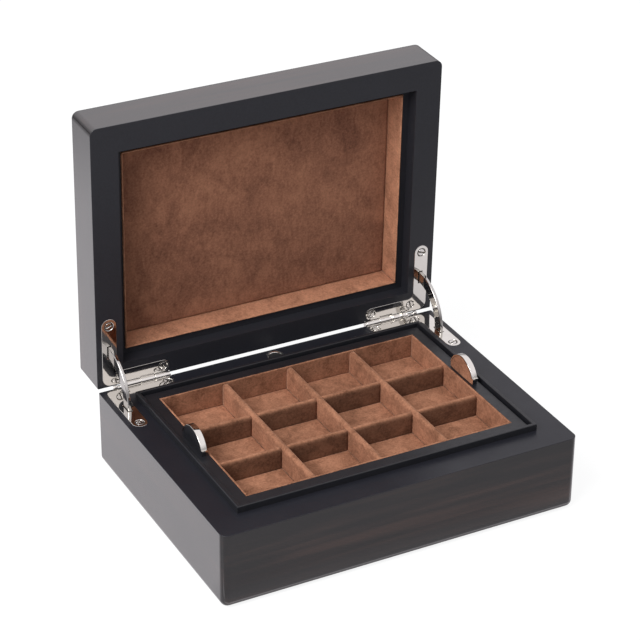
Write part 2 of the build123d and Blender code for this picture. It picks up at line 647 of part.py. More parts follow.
def pulls():
    """Half-moon pulls with a nickel strip nailed over the curved edge."""
    x0, x1 = PULL_INNER, PULL_INNER + PULL_THICKNESS
    half = PULL_CHORD / 2
    tab = half_moon(STRIP_THICKNESS, x0, x1) + pull_root()
    tab += block(x0, x1, PULL_Y - half, PULL_Y + half, TRAY_TOP, ARCH_Z)

    wide0, wide1 = x0 - STRIP_OVERHANG, x1 + STRIP_OVERHANG
    strip = half_moon(0, wide0, wide1) - half_moon(STRIP_THICKNESS, wide0 - 1, wide1 + 1)
    front = PULL_Y - half
    lip_top = ARCH_Z + STRIP_LIP_THICKNESS
    strip += block(wide0, wide1, front - STRIP_LIP, front + STRIP_LIP_ROOT, ARCH_Z, lip_top)

    for hole in strip_nails(NAIL_FIT):
        tab -= hole
        strip -= hole
    tab = solid_of(tab)
    strip = solid_of(strip)
    nails = strip_nails()
    save("pull_right", tab)
    save("pull_left", mirrored(tab))
    save("pull_strip_right", strip)
    save("pull_strip_left", mirrored(strip))
    save("pull_strip_nails", *nails, *[mirrored(nail) for nail in nails])


base_carcass()
base_inside()
rim_stud()
lid_carcass()
hinges()
tray_frame()
tray_dividers()
tray_pads()
pulls()

print("pin axis", PIN_Y, PIN_Z)
print("stay range", OPEN_ANGLE / 2)
print("tray centre", CENTRE_Y, "tray top", TRAY_TOP, "tray bottom", TRAY_BOTTOM)
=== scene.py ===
import math

import bmesh
import bpy
from mathutils import Matrix, Vector, noise


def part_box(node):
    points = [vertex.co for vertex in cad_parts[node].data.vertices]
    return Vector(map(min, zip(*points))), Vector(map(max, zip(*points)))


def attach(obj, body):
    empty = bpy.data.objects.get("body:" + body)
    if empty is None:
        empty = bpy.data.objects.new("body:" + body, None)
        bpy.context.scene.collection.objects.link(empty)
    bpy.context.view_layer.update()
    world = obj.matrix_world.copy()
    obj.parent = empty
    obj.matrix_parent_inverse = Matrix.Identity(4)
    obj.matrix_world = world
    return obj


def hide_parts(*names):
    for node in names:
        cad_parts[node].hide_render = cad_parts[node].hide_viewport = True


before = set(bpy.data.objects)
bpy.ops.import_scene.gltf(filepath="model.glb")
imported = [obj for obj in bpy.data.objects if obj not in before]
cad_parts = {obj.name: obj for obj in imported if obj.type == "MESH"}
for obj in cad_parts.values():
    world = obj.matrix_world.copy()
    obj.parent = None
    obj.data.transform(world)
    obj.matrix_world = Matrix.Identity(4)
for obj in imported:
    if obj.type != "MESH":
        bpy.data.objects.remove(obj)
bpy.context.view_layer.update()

# Sizes and places taken over from the solids, in metres and degrees
OPEN_ANGLE = 88.5
PIN = Vector((0.0, 0.0837, 0.0471))
HALF_W = 0.110
HALF_D = 0.0825
BASE_TOP = 0.047
LID_RIM = 0.0472
LID_TOP = 0.0747
TRAY_TOP = 0.0490
LEAF_THICKNESS = 0.0023
LEAF_WIDTH = 0.0094
LEAF_SIDE_X = 0.1020
LEAF_SIDE_Y = 0.0424
LEAF_BACK_WIDTH = 0.0080
LEAF_BACK_X = 0.0689
LEAF_BACK_Y = 0.0772
LEAF_REAR = 0.0820
LEAF_CORNER_X = 0.09295
LEAF_CORNER_RADIUS = 0.0050
LEAF_INNER_RADIUS = 0.0030
SLOT_HALF = 0.0013
SLOT_FRONT = 0.0554
SLOT_REAR = 0.0635
SCREWS = ((0.1020, 0.0424, 20), (0.0689, 0.0772, 130), (0.0958, 0.0772, 75))
SCREW_RADIUS = 0.0026
SCREW_HOLE = 0.00265
SCREW_LENGTH = 0.0096
SCREW_CONE_DEPTH = 0.0017
SCREW_SLOT_HALF = 0.0004
SCREW_SLOT_DEPTH = 0.0006
SHANK_RADIUS = 0.0012
BARREL_RADIUS = 0.0022
BARREL_START = 0.0652
BARREL_END = 0.0928
KNUCKLES = 3
BASE_KNUCKLES = (0, 2)
LID_KNUCKLES = (1,)
KNUCKLE_GAP = 0.00015
WEB_LAP = 0.0010
PIN_RADIUS = 0.0011
PIN_FIT = 0.00003
PIN_HEAD_RADIUS = 0.0018
PIN_HEAD = 0.0005
PIN_COLLAR_END = 0.0938
PIN_NECK_RADIUS = 0.00075
PIN_KNOB_START = 0.0979
PIN_END = 0.1003
STAY_INNER = 0.021
STAY_OUTER = 0.028
STAY_THICKNESS = 0.002
STAY_END_RADIUS = 0.0025
STAY_FIRST = 84.25
STAY_LAST = 187.25
PULL_Y = 0.00305
PULL_INNER = 0.0846
PULL_THICKNESS = 0.0030
PULL_HALF = 0.01255
PULL_ROOT_HALF = 0.01055
PULL_ROOT_Z = 0.0420
ARCH_Z = 0.0523
ARCH_RADIUS = 0.013204
ARCH_CENTRE_Z = 0.048196
STRIP_THICKNESS = 0.0009
STRIP_OVERHANG = 0.0003
STRIP_LIP = 0.0009
STRIP_LIP_TOP = 0.0531
NAIL_RADIUS = 0.0004
NAIL_LENGTH = 0.0035
NAIL_PROUD = 0.0001
NAIL_ANGLE = 63.0
STUD_RADIUS = 0.0052
STUD_INNER = 0.0039
TRAY_LINING = 0.0012

# Bevels, roundings and grooves that are made here, in metres
LEAF_BEVEL = 0.00032
KNUCKLE_BEVEL = 0.00022
SCREW_SUNK = 0.0001
SCREW_GROOVE = 0.0004
SCREW_HEAD_DEPTH = 0.0009
SCREW_BEVEL = 0.00016
PIN_BEVEL = 0.00015
PIN_KNOB_ROUND = 0.00035
STAY_BEVEL = 0.00045
PULL_BEVEL = 0.0003
STRIP_BEVEL = 0.00022
NAIL_DOME = 0.00015
STUD_EDGE = 0.00006
STUD_FLAT = 0.00022
STUD_MOUTH = 0.00062
STUD_MOUTH_DROP = 0.00042
STUD_FLOOR_DROP = 0.00050

SIDES = ("front", "back", "left", "right")
HANDS = (("left", -1), ("right", 1))


def about_pin(angle):
    """Turn about the hinge pins' axis."""
    turn = Matrix.Rotation(math.radians(angle), 4, "X")
    return Matrix.Translation(PIN) @ turn @ Matrix.Translation(-PIN)


def flipped(z):
    """Mirror in a level plane."""
    return Matrix.Translation((0, 0, 2 * z)) @ Matrix.Scale(-1, 4, (0, 0, 1))


# From the closed lid to the open one, and from the base's rim to the rim of the open lid
OPEN = about_pin(-OPEN_ANGLE)
TO_LID = OPEN @ flipped(PIN.z)


# Materials

class Shader:
    """A material under construction: short calls for the nodes that the finishes share."""

    def __init__(self, name):
        self.material = bpy.data.materials.new(name)
        self.material.use_nodes = True
        self.tree = self.material.node_tree
        self.tree.nodes.clear()
        self.bsdf = self.tree.nodes.new("ShaderNodeBsdfPrincipled")
        self.out = self.tree.nodes.new("ShaderNodeOutputMaterial")
        self.tree.links.new(self.bsdf.outputs["BSDF"], self.out.inputs["Surface"])
        self.coords = self.tree.nodes.new("ShaderNodeTexCoord").outputs["Object"]

    def node(self, kind, **settings):
        made = self.tree.nodes.new(kind)
        for key, value in settings.items():
            setattr(made, key, value)
        return made

    def put(self, socket, value):
        """Link a socket or set a constant on it."""
        if isinstance(value, bpy.types.NodeSocket):
            self.tree.links.new(value, socket)
        else:
            socket.default_value = value

    def set(self, **values):
        """Inputs of the principled shader, with underscores for spaces."""
        for key, value in values.items():
            name = key.replace("_", " ")
            if isinstance(value, tuple) and len(value) == 3:
                value = (*value, 1.0)
            self.put(self.bsdf.inputs[name], value)

    def math(self, operation, a, b=0.0):
        made = self.node("ShaderNodeMath", operation=operation)
        self.put(made.inputs[0], a)
        self.put(made.inputs[1], b)
        return made.outputs[0]

    def weighted(self, *terms):
        """Sum of values, each times its weight."""
        total = None
        for value, weight in terms:
            scaled = self.math("MULTIPLY", value, weight)
            total = scaled if total is None else self.math("ADD", total, scaled)
        return total

    def mapping(self, vector, scale=(1, 1, 1), rotation=(0, 0, 0), location=(0, 0, 0)):
        made = self.node("ShaderNodeMapping")
        self.put(made.inputs["Vector"], vector)
        made.inputs["Scale"].default_value = scale
        made.inputs["Rotation"].default_value = rotation
        made.inputs["Location"].default_value = location
        return made.outputs["Vector"]

    def split(self, vector):
        made = self.node("ShaderNodeSeparateXYZ")
        self.put(made.inputs[0], vector)
        return made.outputs

    def noise(self, scale, detail=3.0, rough=0.55, distortion=0.0, vector=None):
        made = self.node("ShaderNodeTexNoise")
        self.put(made.inputs["Vector"], vector or self.coords)
        made.inputs["Scale"].default_value = scale
        made.inputs["Detail"].default_value = detail
        made.inputs["Roughness"].default_value = rough
        made.inputs["Distortion"].default_value = distortion
        return made.outputs["Fac"]

    def cells(self, scale, vector):
        made = self.node("ShaderNodeTexVoronoi", feature="DISTANCE_TO_EDGE")
        self.put(made.inputs["Vector"], vector)
        made.inputs["Scale"].default_value = scale
        return made.outputs["Distance"]

    def ramp(self, value, *stops):
        """A colour ramp; each stop is a place and a colour."""
        made = self.node("ShaderNodeValToRGB")
        self.put(made.inputs["Fac"], value)
        elements = made.color_ramp.elements
        while len(elements) < len(stops):
            elements.new(0.5)
        for element, (place, colour) in zip(elements, stops):
            element.position = place
            element.color = (*colour, 1.0)
        return made.outputs["Color"]

    def spread(self, value, low, high, to_low=0.0, to_high=1.0):
        """Stretch the range from low to high to another one, and hold it at the ends."""
        made = self.node("ShaderNodeMapRange")
        self.put(made.inputs["Value"], value)
        limits = (("From Min", low), ("From Max", high), ("To Min", to_low), ("To Max", to_high))
        for name, number in limits:
            made.inputs[name].default_value = number
        return made.outputs["Result"]

    def varied(self, value, low, high):
        """A number that a noise moves between low and high."""
        return self.spread(value, 0.3, 0.7, low, high)

    def mix(self, factor, a, b):
        """Mix two colours."""
        made = self.node("ShaderNodeMix", data_type="RGBA")
        sockets = [s for s in made.inputs if s.type == "RGBA"]
        self.put(made.inputs["Factor"], factor)
        self.put(sockets[0], a if not isinstance(a, tuple) else (*a, 1.0))
        self.put(sockets[1], b if not isinstance(b, tuple) else (*b, 1.0))
        return [s for s in made.outputs if s.type == "RGBA"][0]

    def blend(self, factor, a, b):
        """Mix two numbers."""
        made = self.node("ShaderNodeMix", data_type="FLOAT")
        self.put(made.inputs["Factor"], factor)
        self.put(made.inputs[2], a)
        self.put(made.inputs[3], b)
        return made.outputs[0]

    def bump(self, height, strength, distance, normal=None):
        made = self.node("ShaderNodeBump")
        self.put(made.inputs["Height"], height)
        made.inputs["Strength"].default_value = strength
        made.inputs["Distance"].default_value = distance
        if normal:
            self.put(made.inputs["Normal"], normal)
        return made.outputs["Normal"]

    def closed(self, lid):
        """Coordinates of the closed box, so that a lid piece and a base piece share one rule."""
        if not lid:
            return self.coords
        turn = math.radians(OPEN_ANGLE)
        shift = PIN - Matrix.Rotation(turn, 4, "X") @ PIN
        return self.mapping(self.coords, rotation=(turn, 0, 0), location=shift)


# How deep the veneered outside reaches in from the sides and down from the lid's top
VENEER_DEPTH = 0.0052
VENEER_TOP_DEPTH = 0.0035
# How far past the rim it begins, and where it is full
VENEER_START = 0.0001
VENEER_FULL = 0.0003


def veneered(s, place, lid):
    """One on the outside of the box, and nought on the rim and inside."""
    parts = s.split(place)
    side_x = s.math("SUBTRACT", s.math("ABSOLUTE", parts["X"]), HALF_W - VENEER_DEPTH)
    side_y = s.math("SUBTRACT", s.math("ABSOLUTE", parts["Y"]), HALF_D - VENEER_DEPTH)
    outside = s.math("MAXIMUM", side_x, side_y)
    if lid:
        above = s.math("SUBTRACT", parts["Z"], LID_TOP - VENEER_TOP_DEPTH)
        outside = s.math("MAXIMUM", outside, above)
        past_rim = s.spread(parts["Z"], LID_RIM + VENEER_START, LID_RIM + VENEER_FULL)
    else:
        past_rim = s.spread(parts["Z"], BASE_TOP - VENEER_START, BASE_TOP - VENEER_FULL)
    return s.math("MULTIPLY", s.math("GREATER_THAN", outside, 0.0), past_rim)


def lacquer(name, along, lid):
    """Dark veneer under gloss lacquer outside; the rim and the inside are painted satin black."""
    s = Shader(name)
    place = s.closed(lid)
    outer = veneered(s, place, lid)

    fine = (7, 330, 330) if along == "X" else (330, 7, 330)
    wide = (3.5, 42, 42) if along == "X" else (42, 3.5, 42)
    streaks = s.noise(1.0, detail=5.0, rough=0.6, distortion=0.35, vector=s.mapping(place, scale=fine))
    bands = s.noise(1.0, rough=0.5, distortion=0.8, vector=s.mapping(place, scale=wide))
    veneer = s.ramp(
        s.weighted((streaks, 0.45), (bands, 0.55)),
        (0.38, (0.0032, 0.0026, 0.0034)),
        (0.48, (0.0060, 0.0046, 0.0053)),
        (0.56, (0.0150, 0.0088, 0.0082)),
        (0.68, (0.0400, 0.0200, 0.0155)),
    )
    # The satin black of the lid's rim and inside is set a little paler than the base's.
    lift = 0.006 if lid else 0.0
    dark = (0.0105 + lift, 0.0108 + lift, 0.0150 + lift)
    black = s.mix(s.noise(900.0, detail=2.0), dark, tuple(1.6 * c for c in dark))
    satin = s.varied(s.noise(55.0, detail=4.0), 0.30, 0.40)
    gloss = s.varied(s.noise(18.0), 0.18, 0.26)
    s.set(
        Base_Color=s.mix(outer, black, veneer),
        Roughness=s.blend(outer, satin, gloss),
        IOR=1.40,
        Coat_Weight=outer,
        Coat_Roughness=0.07,
        Coat_IOR=1.65,
    )
    waves = s.bump(s.noise(26.0, detail=2.0), strength=0.10, distance=0.0005)
    pores = s.blend(outer, s.noise(1400.0, detail=2.0), streaks)
    s.set(
        Normal=s.bump(pores, strength=0.06, distance=0.00025, normal=waves),
        Coat_Normal=s.bump(bands, strength=0.05, distance=0.0005, normal=waves),
    )
    return s.material


# Where a painted shadow darkens the suede towards the lid's left edge
EDGE_SHADE_FULL = -0.088
EDGE_SHADE_END = -0.058


def suede(
    name, dark, light, patch=70.0, contrast=1.0, strokes=(260, 170, 420),
    front_shade=1.0, grain=1500.0, edge=1.0,
):
    """Napped leather, cloudy where its pile lies one way or the other.

    A factor of painted shade darkens faces turned to the front, where less light falls, and the factor edge
    adds a painted shadow towards the lid's left edge.
    """
    s = Shader(name)
    cloud = s.noise(patch, detail=4.0, rough=0.62, distortion=0.6)
    fine = s.noise(grain, rough=0.75)
    brushed = s.noise(1.0, rough=0.6, distortion=1.2, vector=s.mapping(s.coords, scale=strokes))
    tone = s.weighted((cloud, 0.42), (fine, 0.36), (brushed, 0.22))
    reach = 0.13 / contrast
    facing = s.split(s.node("ShaderNodeTexCoord").outputs["Normal"])["Y"]
    shaded_colour = s.node("ShaderNodeVectorMath", operation="SCALE")
    s.put(shaded_colour.inputs[0], s.ramp(tone, (0.5 - reach, dark), (0.5 + reach, light)))
    # Painted shade: faces turned to the front are made darker, as less light falls on them.
    painted_shade = s.spread(facing, -0.85, -0.15, front_shade, 1.0)
    # Painted shadow: darker towards the lid's left edge, where the lid's left wall shades the suede.
    if edge < 1.0:
        across = s.split(s.coords)["X"]
        painted_shade = s.math("MULTIPLY", painted_shade, s.spread(across, EDGE_SHADE_FULL, EDGE_SHADE_END, edge, 1.0))
    s.put(shaded_colour.inputs["Scale"], painted_shade)
    s.set(
        Base_Color=shaded_colour.outputs["Vector"],
        Roughness=0.96,
        Specular_IOR_Level=0.12,
        Sheen_Weight=0.30,
        Sheen_Roughness=0.45,
        Sheen_Tint=(0.80, 0.50, 0.36),
    )
    soft = s.bump(cloud, strength=0.25, distance=0.0006)
    s.set(Normal=s.bump(fine, strength=0.50, distance=0.00025, normal=soft))
    return s.material


def leather(name, dark, light, grain=1300.0, rough=0.42):
    """Fine-grained black covering: small pebbles with shallow creases between them."""
    s = Shader(name)
    warped = s.mapping(s.coords, scale=(1.0, 1.15, 0.9))
    pebbles = s.cells(grain, warped)
    creases = s.math("MINIMUM", pebbles, 0.25)
    worn = s.noise(90.0, detail=4.0)
    soft = s.bump(worn, strength=0.12, distance=0.0004)
    s.set(
        Base_Color=s.mix(worn, dark, light),
        Roughness=s.varied(s.noise(300.0), rough - 0.06, rough + 0.08),
        IOR=1.46,
        Coat_Weight=0.12,
        Coat_Roughness=0.25,
        Normal=s.bump(creases, strength=0.25, distance=0.00014, normal=soft),
    )
    return s.material


def nickel(name, rough=0.05, tint=(0.80, 0.775, 0.73)):
    """Polished plate with faint buffing marks and small dull patches."""
    s = Shader(name)
    marks = s.noise(1.0, rough=0.6, vector=s.mapping(s.coords, scale=(3200, 420, 900)))
    dull = s.noise(260.0)
    waves = s.bump(s.noise(75.0, detail=1.0), strength=0.30, distance=0.0003)
    s.set(
        Base_Color=s.mix(dull, tuple(0.93 * c for c in tint), tint),
        Metallic=1.0,
        Roughness=s.spread(s.math("ADD", marks, dull), 0.7, 1.4, rough * 0.7, rough * 1.8),
        Normal=s.bump(marks, strength=0.03, distance=0.00006, normal=waves),
    )
    return s.material


def board(name):
    """Plain sanded board, seen only where something is lifted out."""
    s = Shader(name)
    along = s.mapping(s.coords, scale=(9, 210, 210))
    rings = s.noise(1.0, detail=5.0, rough=0.6, distortion=0.7, vector=along)
    s.set(
        Base_Color=s.ramp(rings, (0.35, (0.30, 0.19, 0.10)), (0.65, (0.46, 0.32, 0.18))),
        Roughness=s.varied(rings, 0.55, 0.72),
        Normal=s.bump(rings, strength=0.2, distance=0.0003),
    )
    return s.material


def rubber(name):
    """Matt dark core of the rim stud."""
    s = Shader(name)
    grain = s.noise(2600.0, detail=2.0)
    s.set(
        Base_Color=s.mix(grain, (0.008, 0.008, 0.009), (0.018, 0.018, 0.020)),
        Roughness=s.varied(grain, 0.50, 0.66),
        Normal=s.bump(grain, strength=0.2, distance=0.0001),
    )
    return s.material


SUEDE_DARK = (0.195, 0.084, 0.047)
SUEDE_LIGHT = (0.480, 0.224, 0.133)
# Paler suede: painted light for the lid's linings that face the light.
LIT_BORDER_DARK = (0.255, 0.112, 0.064)
LIT_BORDER_LIGHT = (0.630, 0.300, 0.180)
# The panel's suede is set darker than the rest: painted shade for a face turned to the front.
PANEL_DARK = (0.132, 0.054, 0.035)
PANEL_LIGHT = (0.355, 0.163, 0.098)
BLACK_DARK = (0.0075, 0.0078, 0.0105)
BLACK_LIGHT = (0.0150, 0.0155, 0.0195)
FELT_DARK = (0.008, 0.008, 0.009)
FELT_LIGHT = (0.022, 0.022, 0.024)

# Painted shade: both suedes darken faces turned to the front, the cross dividers' copy far more, for their
# shaded fronts.
brown_suede = suede("brown_suede", SUEDE_DARK, SUEDE_LIGHT, contrast=1.2, front_shade=0.82, grain=850.0)
front_shaded_divider_suede = suede("front_shaded_divider_suede", SUEDE_DARK, SUEDE_LIGHT, contrast=1.2, front_shade=0.42, grain=850.0)
lit_border_suede = suede("lit_border_suede", LIT_BORDER_DARK, LIT_BORDER_LIGHT, grain=850.0)
# The lid's panel gets a painted shadow towards its left edge.
panel_suede = suede(
    "panel_suede", PANEL_DARK, PANEL_LIGHT, patch=34.0, strokes=(190, 190, 85), grain=760.0, edge=0.74,
)
black_felt = suede("black_felt", FELT_DARK, FELT_LIGHT, patch=120.0)
black_cover = leather("black_cover", BLACK_DARK, BLACK_LIGHT)
polished_nickel = nickel("polished_nickel")
# A darker nickel for the stays: painted shade that dims what they reflect.
shaded_stay_nickel = nickel("shaded_stay_nickel", rough=0.07, tint=(0.60, 0.585, 0.56))
screw_nickel = nickel("screw_nickel", rough=0.10, tint=(0.76, 0.74, 0.71))
# A dark nickel for the screws' cones and slot floors: painted shade in the slots and the gap round each
# head.
shaded_screw_nickel = nickel("shaded_screw_nickel", rough=0.32, tint=(0.13, 0.12, 0.11))
sanded_board = board("sanded_board")
stud_core = rubber("stud_core")


def finish(node, material):
    """Give a solid that stays its finish."""
    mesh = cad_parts[node].data
    mesh.materials.clear()
    mesh.materials.append(material)


for part, lid in (("base", False), ("lid", True)):
    along_x = lacquer(f"{part}_lacquer_x", "X", lid)
    along_y = lacquer(f"{part}_lacquer_y", "Y", lid)
    for side in SIDES:
        finish(f"{part}_{side}_wall", along_x if side in ("front", "back") else along_y)
    if lid:
        finish("lid_top_panel", along_x)
for side in SIDES:
    finish(f"base_{side}_liner", black_cover)
    finish(f"tray_{side}_frame", black_cover)
for node in ("base_bottom_panel", "tray_base_board"):
    finish(node, sanded_board)
finish("rim_stud_core", stud_core)


# Mesh helpers

def mesh_object(name, bm, materials):
    """Turn a bmesh into an object."""
    mesh = bpy.data.meshes.new(name)
    bm.to_mesh(mesh)
    bm.free()
    for material in materials:
        mesh.materials.append(material)
    made = bpy.data.objects.new(name, mesh)
    bpy.context.scene.collection.objects.link(made)
    return made


def stand_for(piece, body, node):
    """Let a piece ride on a body in place of a CAD node."""
    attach(piece, body)
    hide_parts(node)
    return piece


def shaded(bm, sharp_angle, place=Matrix()):
    """Close a bmesh up as a smooth mesh that keeps its sharp edges, and put it in its place."""
    for face in bm.faces:
        face.smooth = True
    for edge in bm.edges:
        if len(edge.link_faces) == 2 and edge.calc_face_angle(0.0) > math.radians(sharp_angle):
            edge.smooth = False
    mesh = bpy.data.meshes.new("part")
    bm.to_mesh(mesh)
    bm.free()
    mesh.transform(place)
    if place.determinant() < 0:
        mesh.flip_normals()
    return mesh


def joined(name, meshes, material, body, node):
    """One object made of several meshes, in place of a CAD node."""
    bm = bmesh.new()
    for mesh in meshes:
        bm.from_mesh(mesh)
        bpy.data.meshes.remove(mesh)
    return stand_for(mesh_object(name, bm, [material]), body, node)


def arc(centre, radius, start, stop, steps=12):
    """Points along an arc between two angles in degrees."""
    turns = [math.radians(start + (stop - start) * k / steps) for k in range(steps + 1)]
    return [Vector((centre[0] + radius * math.cos(a), centre[1] + radius * math.sin(a))) for a in turns]


def hole(x, y, radius):
    """A round hole in a plate's outline."""
    return arc((x, y), radius, 360, 0, 36)[:-1]


def drawn_in(points, distance):
    """A closed outline drawn into its material, which lies on the left of its path."""
    moved = []
    for k, point in enumerate(points):
        before = (point - points[k - 1]).normalized()
        after = (points[(k + 1) % len(points)] - point).normalized()
        inward = Vector((-before.y - after.y, before.x + after.x)).normalized()
        reach = max(0.5, inward.dot(Vector((-after.y, after.x))))
        moved.append(point + inward * distance / reach)
    return moved


def plate(outline, holes, low, high, bevel, place=Matrix(), steps=3):
    """A flat piece with rounded edges: the outline runs anticlockwise and its holes clockwise."""
    bm = bmesh.new()
    turns = [math.pi / 2 * k / steps for k in range(steps + 1)]
    rounding = [(bevel * (1 - math.sin(turn)), bevel * (1 - math.cos(turn))) for turn in turns]
    profile = [(inset, low + rise) for inset, rise in rounding]
    profile += [(inset, high - rise) for inset, rise in reversed(rounding)]
    caps = ([], [])
    for contour in (outline, *holes):
        points = [Vector(point) for point in contour]
        rings = []
        for inset, z in profile:
            rings.append([bm.verts.new((*point, z)) for point in drawn_in(points, inset)])
        count = len(points)
        for below, above in zip(rings, rings[1:]):
            for k in range(count):
                n = (k + 1) % count
                bm.faces.new((below[k], below[n], above[n], above[k]))
        for cap, ring in zip(caps, (rings[0], rings[-1])):
            cap += [bm.edges.get((ring[k - 1], ring[k])) for k in range(count)]
    for cap, up in zip(caps, (-1, 1)):
        made = bmesh.ops.triangle_fill(bm, use_beauty=True, edges=cap, normal=(0, 0, up))
        for face in made["geom"]:
            if isinstance(face, bmesh.types.BMFace) and face.normal.z * up < 0:
                face.normal_flip()
    for edge in caps[0] + caps[1]:
        edge.smooth = False
    return shaded(bm, 40, place)


def lathe(profile, place=Matrix(), steps=40):
    """A turned piece: pairs of radius and height from its foot to its top, round the local Z axis."""
    bm = bmesh.new()
    rings = []
    for radius, height in profile:
        count = steps if radius > 0 else 1
        turns = [2 * math.pi * k / steps for k in range(count)]
        rings.append([bm.verts.new((radius * math.cos(a), radius * math.sin(a), height)) for a in turns])
    for below, above in zip(rings, rings[1:]):
        for k in range(steps):
            n = (k + 1) % steps
            corners = [below[k % len(below)], below[n % len(below)]]
            corners += [above[n % len(above)], above[k % len(above)]]
            bm.faces.new(list(dict.fromkeys(corners)))
    return shaded(bm, 30, place)


def side_on(x, y=0.0, z=0.0):
    """Stand a plate up: its X becomes the box's Y, its Y the box's Z and its height the box's X."""
    turn = Matrix(((0, 0, 1), (1, 0, 0), (0, 1, 0))).to_4x4()
    return Matrix.Translation((x, y, z)) @ turn


def handed(sign):
    """The right-hand side itself, or its mirror image on the left."""
    return Matrix.Scale(sign, 4, (1, 0, 0))


# Hinges

def leaf_outline():
    """The right-hand leaf in plan: a side leg and a back leg, each with a round end."""
    x0 = LEAF_SIDE_X - LEAF_WIDTH / 2
    x1 = LEAF_SIDE_X + LEAF_WIDTH / 2
    y0 = LEAF_BACK_Y - LEAF_BACK_WIDTH / 2
    y1 = LEAF_BACK_Y + LEAF_BACK_WIDTH / 2
    corner = LEAF_CORNER_RADIUS
    inner = LEAF_INNER_RADIUS
    points = arc((LEAF_SIDE_X, LEAF_SIDE_Y), LEAF_WIDTH / 2, 180, 360, 24)
    points += arc((x1 - corner, LEAF_REAR - corner), corner, 0, 90)
    points += [Vector((LEAF_CORNER_X, LEAF_REAR)), Vector((LEAF_CORNER_X, y1))]
    points += arc((LEAF_BACK_X, LEAF_BACK_Y), LEAF_BACK_WIDTH / 2, 90, 270, 24)
    points += arc((x0 - inner, y0 - inner), inner, 90, 0, 8)
    return points


def stay_slot():
    """The slot in a leaf, clockwise."""
    x0, x1 = LEAF_SIDE_X - SLOT_HALF, LEAF_SIDE_X + SLOT_HALF
    return [(x0, SLOT_FRONT), (x0, SLOT_REAR), (x1, SLOT_REAR), (x1, SLOT_FRONT)]


def knuckle_outline():
    """One knuckle and its web, side on: the barrel's round and the flat strap that joins it to the leaf."""
    web_y = LEAF_BACK_Y + LEAF_BACK_WIDTH / 2 - WEB_LAP
    drop = BASE_TOP - PIN.z
    meet = math.degrees(math.asin(drop / BARREL_RADIUS))
    bottom = PIN.z - BARREL_RADIUS
    points = [Vector((web_y, bottom))]
    points += arc((PIN.y, PIN.z), BARREL_RADIUS, -90, 180 - meet, 30)
    points += [Vector((web_y, BASE_TOP))]
    return points


def leaf_meshes(knuckles, place):
    """A right-hand base leaf with its knuckles."""
    holes = [hole(x, y, SCREW_HOLE) for x, y, _ in SCREWS]
    low = BASE_TOP - LEAF_THICKNESS
    meshes = [plate(leaf_outline(), [*holes, stay_slot()], low, BASE_TOP, LEAF_BEVEL, place)]
    pitch = (BARREL_END - BARREL_START) / KNUCKLES
    bore = hole(PIN.y, PIN.z, PIN_RADIUS + PIN_FIT)
    for index in knuckles:
        x0 = BARREL_START + index * pitch + KNUCKLE_GAP / 2
        length = pitch - KNUCKLE_GAP
        meshes.append(plate(knuckle_outline(), [bore], 0, length, KNUCKLE_BEVEL, place @ side_on(x0)))
    return meshes


def screw_meshes(place):
    """Three slotted screws: each head is two raised halves, set on a cone that also floors the slot."""
    head = SCREW_RADIUS - SCREW_GROOVE
    side = math.degrees(math.asin(SCREW_SLOT_HALF / head))
    half_head = arc((0, 0), head, side, 180 - side, 20)
    shank = (
        (0, -SCREW_LENGTH),
        (SHANK_RADIUS, -SCREW_LENGTH),
        (SHANK_RADIUS, -SCREW_CONE_DEPTH),
        (SCREW_RADIUS, -SCREW_SLOT_DEPTH),
        (0, -SCREW_SLOT_DEPTH),
    )
    heads, shanks = [], []
    for x, y, turn in SCREWS:
        spot = place @ Matrix.Translation((x, y, BASE_TOP - SCREW_SUNK))
        spot = spot @ Matrix.Rotation(math.radians(turn), 4, "Z")
        for half_turn in (0, 180):
            stance = spot @ Matrix.Rotation(math.radians(half_turn), 4, "Z")
            heads.append(plate(half_head, [], -SCREW_HEAD_DEPTH, 0, SCREW_BEVEL, stance))
        shanks.append(lathe(shank, spot))
    return heads, shanks


def pin_mesh(place):
    """The right-hand pin, lying along X: head, barrel length, collar, neck and a rounded knob."""
    head_start = BARREL_START - PIN_HEAD
    collar_start = BARREL_END + KNUCKLE_GAP
    knob_flat = PIN_RADIUS - PIN_KNOB_ROUND
    profile = [
        (0, head_start),
        (PIN_HEAD_RADIUS - PIN_BEVEL, head_start),
        (PIN_HEAD_RADIUS, head_start + PIN_BEVEL),
        (PIN_HEAD_RADIUS, BARREL_START),
        (PIN_RADIUS, BARREL_START),
        (PIN_RADIUS, collar_start),
        (PIN_HEAD_RADIUS, collar_start),
        (PIN_HEAD_RADIUS, PIN_COLLAR_END - PIN_BEVEL),
        (PIN_HEAD_RADIUS - PIN_BEVEL, PIN_COLLAR_END),
        (PIN_NECK_RADIUS, PIN_COLLAR_END),
        (PIN_NECK_RADIUS, PIN_KNOB_START),
        (knob_flat, PIN_KNOB_START),
    ]
    for turn in (30, 60, 90):
        angle = math.radians(turn)
        ring = knob_flat + PIN_KNOB_ROUND * math.sin(angle)
        profile.append((ring, PIN_KNOB_START + PIN_KNOB_ROUND * (1 - math.cos(angle))))
    for turn in (0, 30, 60, 90):
        angle = math.radians(turn)
        ring = knob_flat + PIN_KNOB_ROUND * math.cos(angle)
        profile.append((ring, PIN_END - PIN_KNOB_ROUND + PIN_KNOB_ROUND * math.sin(angle)))
    profile.append((0, PIN_END))
    lying = Matrix.Translation((0, PIN.y, PIN.z)) @ Matrix.Rotation(math.radians(90), 4, "Y")
    return lathe(profile, place @ lying)


